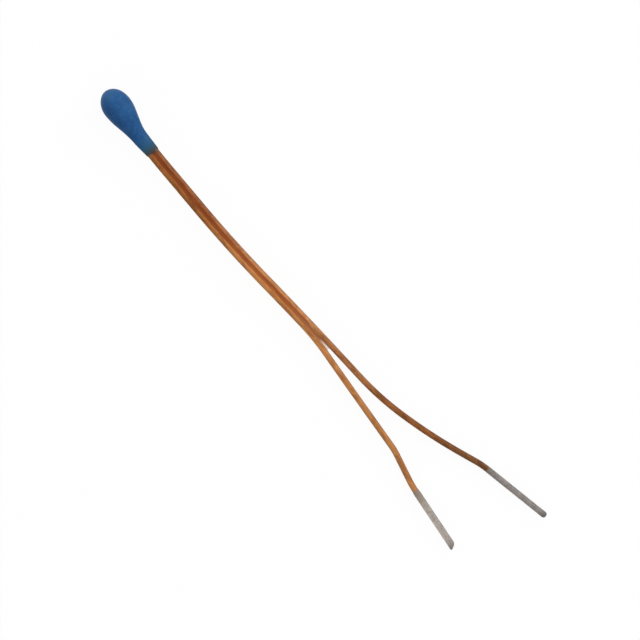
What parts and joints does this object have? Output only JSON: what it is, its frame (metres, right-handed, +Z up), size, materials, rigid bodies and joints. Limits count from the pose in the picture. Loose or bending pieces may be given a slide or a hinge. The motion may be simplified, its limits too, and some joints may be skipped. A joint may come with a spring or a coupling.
{
  "type": "bead thermistor",
  "caption": "Teardrop bead temperature sensor, epoxy dipped, on a bonded pair of enamelled copper wires that split and end in tinned tips for soldering.",
  "frame": {"origin": "on the surface the part lies on, under the widest point of the bead", "axes": "+X along the bead towards the wire tips, +Z up from the surface, +Y to the right-hand lead as the picture shows it"},
  "size_m": [0.0246, 0.0044, 0.0012],
  "materials": {
    "epoxy": "satin dipped epoxy",
    "ceramic": "matt sintered oxide ceramic",
    "electrode": "fired silver film",
    "solder": "bright solder",
    "copper": "drawn copper wire",
    "enamel_light": "clear amber enamel",
    "enamel_dark": "clear brown enamel",
    "varnish": "dark bonding varnish",
    "tinning": "dull tinned solder"
  },
  "bodies": {
    "root": {"epoxy_coat": "epoxy", "thermistor_die": "ceramic", "electrode_left": "electrode", "electrode_right": "electrode", "solder_joint_left": "solder", "solder_joint_right": "solder", "conductor_left": "copper", "conductor_right": "copper", "enamel_left": "enamel_light", "enamel_right": "enamel_dark", "bond_seam": "varnish", "tinned_end_left": "tinning", "tinned_end_right": "tinning"}
  },
  "joints": []
}
